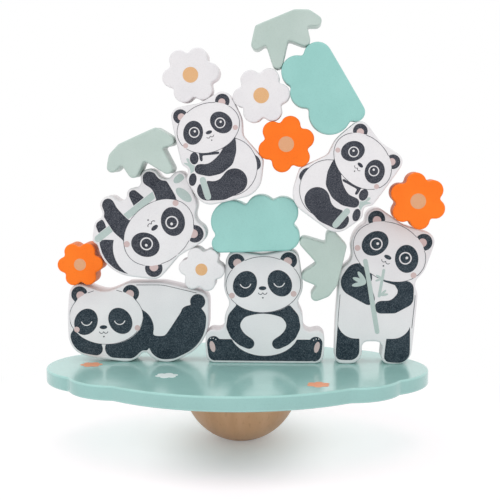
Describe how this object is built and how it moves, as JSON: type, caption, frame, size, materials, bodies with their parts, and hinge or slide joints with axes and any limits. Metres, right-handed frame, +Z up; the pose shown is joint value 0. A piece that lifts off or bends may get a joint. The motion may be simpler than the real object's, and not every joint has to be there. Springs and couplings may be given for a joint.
{
  "type": "stacking balance game",
  "caption": "Wooden stacking balance game: loose flat blocks shaped as animals, flowers, clouds and leaves, stacked on a scalloped board that rocks on a half ball.",
  "frame": {"origin": "middle of the small flat that the half ball stands on", "axes": "+Z up, +Y away from the side that the printed faces look to, +X to the right as seen from that side, along the board's length"},
  "size_m": [0.2555, 0.1698, 0.2755],
  "materials": {
    "board_paint": "gloss",
    "bare_beech": "matte",
    "white_paint": "satin",
    "dark_print": "satin",
    "pink_print": "satin",
    "bamboo_print": "satin",
    "tan_print": "satin",
    "sage_paint": "satin",
    "mint_paint": "satin",
    "orange_paint": "satin"
  },
  "bodies": {
    "root": {"board": "board_paint", "half_ball": "bare_beech", "fixing_dowel": "bare_beech", "sleeping_panda": "white_paint", "sitting_panda": "white_paint", "standing_panda": "white_paint", "upside_down_panda": "white_paint", "climbing_panda_left": "white_paint", "climbing_panda_right": "white_paint", "cloud_low": "mint_paint", "cloud_high": "mint_paint", "leaves_left": "sage_paint", "leaves_top": "sage_paint", "leaves_middle": "sage_paint", "white_flower_left": "white_paint", "white_flower_right": "white_paint", "white_flower_small": "white_paint", "orange_flower_middle": "orange_paint", "orange_flower_right": "orange_paint", "orange_flower_small": "orange_paint", "sleeping_panda_ink": "dark_print", "sitting_panda_ink": "dark_print", "standing_panda_ink": "dark_print", "upside_down_panda_ink": "dark_print", "climbing_panda_left_ink": "dark_print", "climbing_panda_right_ink": "dark_print", "sleeping_panda_blush": "pink_print", "sitting_panda_blush": "pink_print", "standing_panda_blush": "pink_print", "upside_down_panda_blush": "pink_print", "climbing_panda_left_blush": "pink_print", "climbing_panda_right_blush": "pink_print", "standing_panda_bamboo": "bamboo_print", "upside_down_panda_bamboo": "bamboo_print", "climbing_panda_left_bamboo": "bamboo_print", "climbing_panda_right_bamboo": "bamboo_print", "white_flower_left_middle": "tan_print", "white_flower_right_middle": "tan_print", "white_flower_small_middle": "tan_print", "orange_flower_middle_middle": "tan_print", "orange_flower_right_middle": "tan_print", "orange_flower_small_middle": "tan_print", "board_orange_print": "orange_paint", "board_white_print": "white_paint"}
  },
  "joints": []
}
